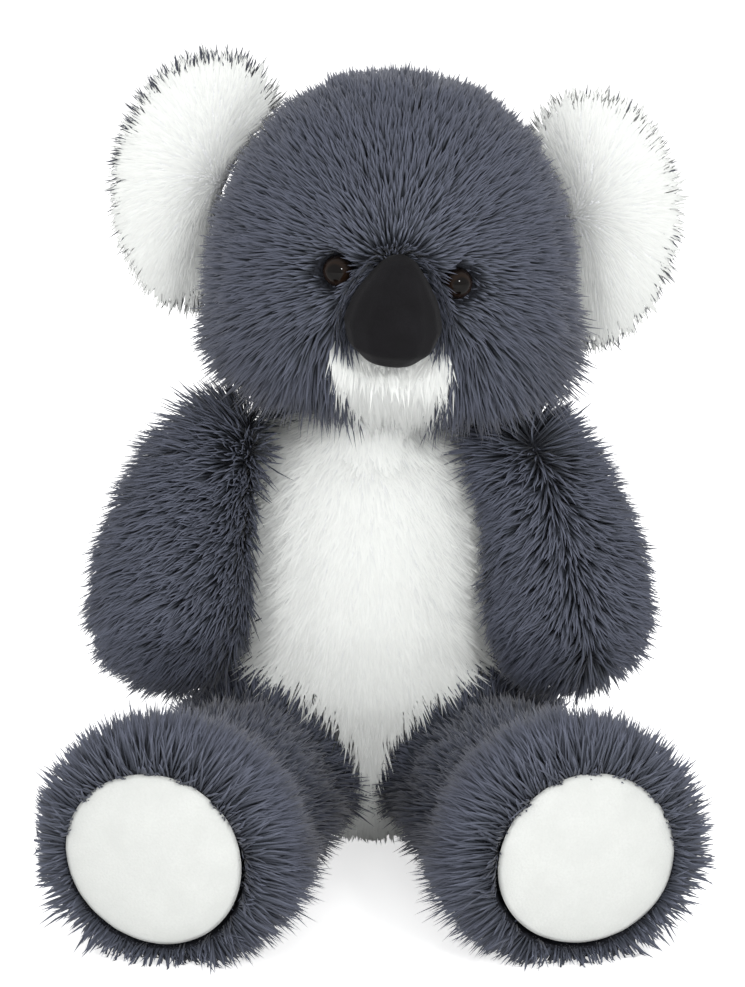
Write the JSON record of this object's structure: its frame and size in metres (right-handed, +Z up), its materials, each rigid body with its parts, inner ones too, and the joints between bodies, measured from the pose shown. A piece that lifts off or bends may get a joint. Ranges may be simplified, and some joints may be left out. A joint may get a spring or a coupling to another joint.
{
  "type": "plush koala",
  "caption": "Sitting plush koala in long grey pile with white belly, muzzle and ear fronts, smooth white soles, velvet nose and glossy eyes; head, ears, arms and legs move.",
  "frame": {"origin": "on the floor under the middle of the sitting toy's overall box", "axes": "+Z up; the koala faces -Y, so its left side is +X"},
  "size_m": [0.2672, 0.2588, 0.3534],
  "materials": {
    "grey_pile": "long shaggy pile in clumps, slate grey",
    "white_pile": "long shaggy pile, white",
    "smooth_plush": "short smooth plush, off-white",
    "black_velvet": "velvet, black",
    "filling": "loose fibre filling",
    "hem_tape": "doubled knitted backing",
    "eye_plastic": "polished dark brown",
    "washer_plastic": "moulded"
  },
  "bodies": {
    "torso": {"torso_back_left": "grey_pile", "torso_back_right": "grey_pile", "belly_panel": "white_pile", "torso_filling": "filling"},
    "neck": {"neck_hem": "hem_tape", "neck_filling": "filling"},
    "head": {"head_side_left": "grey_pile", "head_side_right": "grey_pile", "head_gusset": "grey_pile", "muzzle_panel": "white_pile", "head_filling": "filling", "nose_cover": "black_velvet", "nose_filling": "filling", "eye_left": "eye_plastic", "eye_right": "eye_plastic", "eye_washer_left": "washer_plastic", "eye_washer_right": "washer_plastic"},
    "ear_left": {"ear_front_left": "white_pile", "ear_back_left": "grey_pile", "ear_filling_left": "filling"},
    "ear_right": {"ear_front_right": "white_pile", "ear_back_right": "grey_pile", "ear_filling_right": "filling"},
    "arm_left": {"arm_outer_left": "grey_pile", "arm_inner_left": "grey_pile", "arm_filling_left": "filling"},
    "arm_right": {"arm_outer_right": "grey_pile", "arm_inner_right": "grey_pile", "arm_filling_right": "filling"},
    "leg_left": {"leg_upper_left": "grey_pile", "leg_lower_left": "grey_pile", "sole_pad_left": "smooth_plush", "leg_filling_left": "filling"},
    "leg_right": {"leg_upper_right": "grey_pile", "leg_lower_right": "grey_pile", "sole_pad_right": "smooth_plush", "leg_filling_right": "filling"}
  },
  "joints": [
    {"name": "neck_nod", "type": "hinge", "parent": "torso", "child": "neck", "pos_m": [-0.00217, 0.06745, 0.1815], "axis": [1, 0, 0], "range_deg": [-7, 7], "stiffness_Nm_per_rad": 2.5},
    {"name": "head_turn", "type": "hinge", "parent": "neck", "child": "head", "pos_m": [-0.00217, 0.06745, 0.1815], "axis": [0, 0, 1], "range_deg": [-22, 22], "stiffness_Nm_per_rad": 1},
    {"name": "ear_left_fold", "type": "hinge", "parent": "head", "child": "ear_left", "pos_m": [0.08413, 0.07741, 0.27962], "axis": [-0.2027, -0.0081, 0.9792], "range_deg": [-12, 12], "stiffness_Nm_per_rad": 0.08},
    {"name": "ear_right_fold", "type": "hinge", "parent": "head", "child": "ear_right", "pos_m": [-0.06541, 0.07348, 0.29613], "axis": [0.4114, 0.0081, 0.9114], "range_deg": [-12, 12], "stiffness_Nm_per_rad": 0.08},
    {"name": "arm_left_swing", "type": "hinge", "parent": "torso", "child": "arm_left", "pos_m": [0.04781, 0.05342, 0.17324], "axis": [0.9494, -0.2722, 0.1564], "range_deg": [-45, 12], "stiffness_Nm_per_rad": 0.8},
    {"name": "arm_right_swing", "type": "hinge", "parent": "torso", "child": "arm_right", "pos_m": [-0.05215, 0.05342, 0.17324], "axis": [-0.9494, -0.2722, 0.1564], "range_deg": [-12, 45], "stiffness_Nm_per_rad": 0.8},
    {"name": "leg_left_swing", "type": "hinge", "parent": "torso", "child": "leg_left", "pos_m": [0.04683, 0.03375, 0.0415], "axis": [1, 0, 0], "range_deg": [-8, 30], "stiffness_Nm_per_rad": 1.5},
    {"name": "leg_right_swing", "type": "hinge", "parent": "torso", "child": "leg_right", "pos_m": [-0.05117, 0.03375, 0.0415], "axis": [1, 0, 0], "range_deg": [-8, 30], "stiffness_Nm_per_rad": 1.5}
  ]
}
